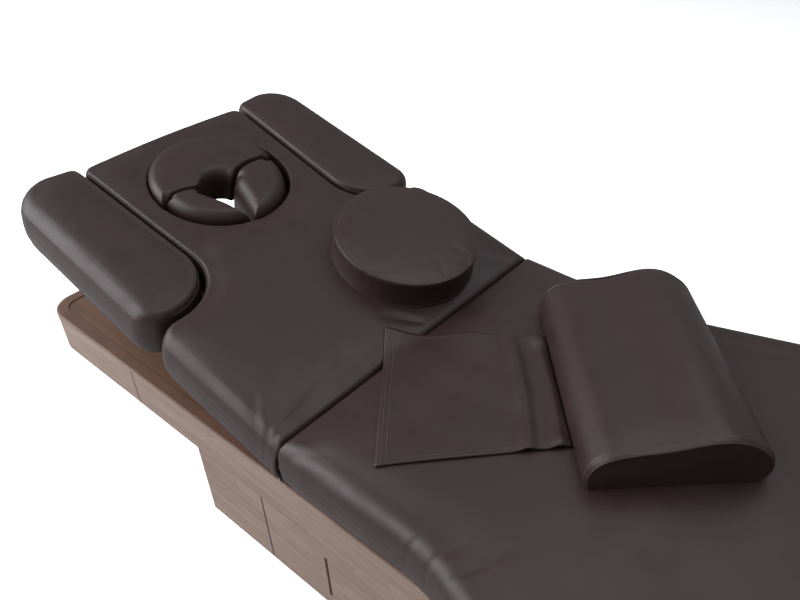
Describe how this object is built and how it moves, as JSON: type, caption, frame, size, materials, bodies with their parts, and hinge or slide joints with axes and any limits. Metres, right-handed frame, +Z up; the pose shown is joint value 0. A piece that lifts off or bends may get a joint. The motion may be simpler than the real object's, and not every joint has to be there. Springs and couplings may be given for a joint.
{
  "type": "spa treatment bed",
  "caption": "Low spa treatment bed: shaped leather pads, raised backrest with face hole and arm rests, on a wooden cabinet with drawers in its plinth.",
  "frame": {"origin": "on the floor, under the hinge of the backrest, on the centre line of the bed", "axes": "+X from head to foot, -Y the near side in the picture, +Z up"},
  "size_m": [2.08, 1.036, 0.6401],
  "materials": {
    "cabinet_wood": "satin grey-brown veneer",
    "deck_wood": "satin dark brown veneer",
    "plywood": "plain board",
    "dark_laminate": "matte dark board",
    "bright_steel": "brushed",
    "black_steel": "black powder coat",
    "black_plastic": "matte",
    "leather": "dark brown grained upholstery"
  },
  "bodies": {
    "cabinet": {"side_panel_near": "cabinet_wood", "side_panel_far": "cabinet_wood", "head_end_panel": "cabinet_wood", "foot_end_panel": "cabinet_wood", "cabinet_rim": "deck_wood", "deck_panel": "deck_wood", "deck_bearers": "plywood", "box_floor": "plywood", "plinth_head_board": "cabinet_wood", "plinth_foot_board": "cabinet_wood", "plinth_floor": "plywood", "foot_board": "dark_laminate", "bay_partitions": "plywood", "drawer_slides_fixed": "bright_steel", "lift_columns_outer": "bright_steel", "lift_motors": "black_plastic", "control_box": "black_plastic", "mains_inlet": "black_plastic"},
    "column_stage": {"lift_columns_middle": "bright_steel"},
    "carriage": {"lift_columns_inner": "bright_steel", "chassis_frame": "black_steel", "hinge_bar_screws": "bright_steel", "hinge_leaves_fixed": "black_steel", "hinge_pins": "bright_steel", "leg_board": "plywood", "leg_pad": "leather", "back_drive_body": "black_plastic"},
    "drive_rod": {"back_drive_rod": "bright_steel"},
    "backrest": {"back_board": "plywood", "back_pad": "leather", "back_frame": "black_steel", "back_lever": "black_steel", "hinge_leaves_moving": "black_steel", "arm_guide_rods": "bright_steel", "face_ring": "black_plastic"},
    "arm_rest_near": {"arm_pad_near": "leather", "arm_board_near": "plywood", "arm_brackets_near": "black_steel"},
    "arm_rest_far": {"arm_pad_far": "leather", "arm_board_far": "plywood", "arm_brackets_far": "black_steel"},
    "face_rest": {"face_plate": "black_plastic", "face_pad_forehead": "leather", "face_pad_cheek_near": "leather", "face_pad_cheek_far": "leather"},
    "seat_roll": {"round_cushion": "leather"},
    "pillow": {"neck_pillow": "leather", "pillow_flap": "leather"},
    "drawer_near_head": {"drawer_front_near_head": "cabinet_wood", "drawer_tray_near_head": "plywood", "drawer_slides_near_head": "bright_steel"},
    "drawer_near_foot": {"drawer_front_near_foot": "cabinet_wood", "drawer_tray_near_foot": "plywood", "drawer_slides_near_foot": "bright_steel"},
    "drawer_far_head": {"drawer_front_far_head": "cabinet_wood", "drawer_tray_far_head": "plywood", "drawer_slides_far_head": "bright_steel"},
    "drawer_far_foot": {"drawer_front_far_foot": "cabinet_wood", "drawer_tray_far_foot": "plywood", "drawer_slides_far_foot": "bright_steel"}
  },
  "joints": [
    {"name": "drawer_slide_near_head", "type": "slide", "parent": "cabinet", "child": "drawer_near_head", "axis": [0, -1, 0], "range_m": [0, 0.24]},
    {"name": "drawer_slide_near_foot", "type": "slide", "parent": "cabinet", "child": "drawer_near_foot", "axis": [0, -1, 0], "range_m": [0, 0.24]},
    {"name": "drawer_slide_far_head", "type": "slide", "parent": "cabinet", "child": "drawer_far_head", "axis": [0, 1, 0], "range_m": [0, 0.24]},
    {"name": "drawer_slide_far_foot", "type": "slide", "parent": "cabinet", "child": "drawer_far_foot", "axis": [0, 1, 0], "range_m": [0, 0.24]},
    {"name": "lift", "type": "slide", "parent": "cabinet", "child": "carriage", "axis": [0, 0, 1], "range_m": [0, 0.35]},
    {"name": "column_stage_lift", "type": "slide", "parent": "cabinet", "child": "column_stage", "axis": [0, 0, 1], "range_m": [0, 0.175]},
    {"name": "back_raise", "type": "hinge", "parent": "carriage", "child": "backrest", "pos_m": [0, 0, 0.412], "axis": [0, 1, 0], "range_deg": [-14, 46], "deforming": ["pillow_flap"]},
    {"name": "drive_rod_slide", "type": "slide", "parent": "carriage", "child": "drive_rod", "axis": [1, 0, 0], "range_m": [-0.118, 0.0365]},
    {"name": "arm_lower_near", "type": "slide", "parent": "backrest", "child": "arm_rest_near", "axis": [-0.2419, 0, -0.9703], "range_m": [0, 0.075]},
    {"name": "arm_lower_far", "type": "slide", "parent": "backrest", "child": "arm_rest_far", "axis": [-0.2419, 0, -0.9703], "range_m": [0, 0.075]},
    {"name": "face_rest_lift_off", "type": "slide", "parent": "backrest", "child": "face_rest", "axis": [0.2419, 0, 0.9703], "range_m": [0, 0.12]},
    {"name": "seat_roll_lift_off", "type": "slide", "parent": "backrest", "child": "seat_roll", "axis": [0.2419, 0, 0.9703], "range_m": [0, 0.12]},
    {"name": "pillow_lift_off", "type": "slide", "parent": "carriage", "child": "pillow", "axis": [0, 0, 1], "range_m": [0, 0.12]}
  ],
  "couplings": [
    {"joint": "column_stage_lift", "follows": "lift", "ratio": 0.5},
    {"joint": "drive_rod_slide", "follows": "back_raise", "m_per_rad": -0.1445}
  ]
}
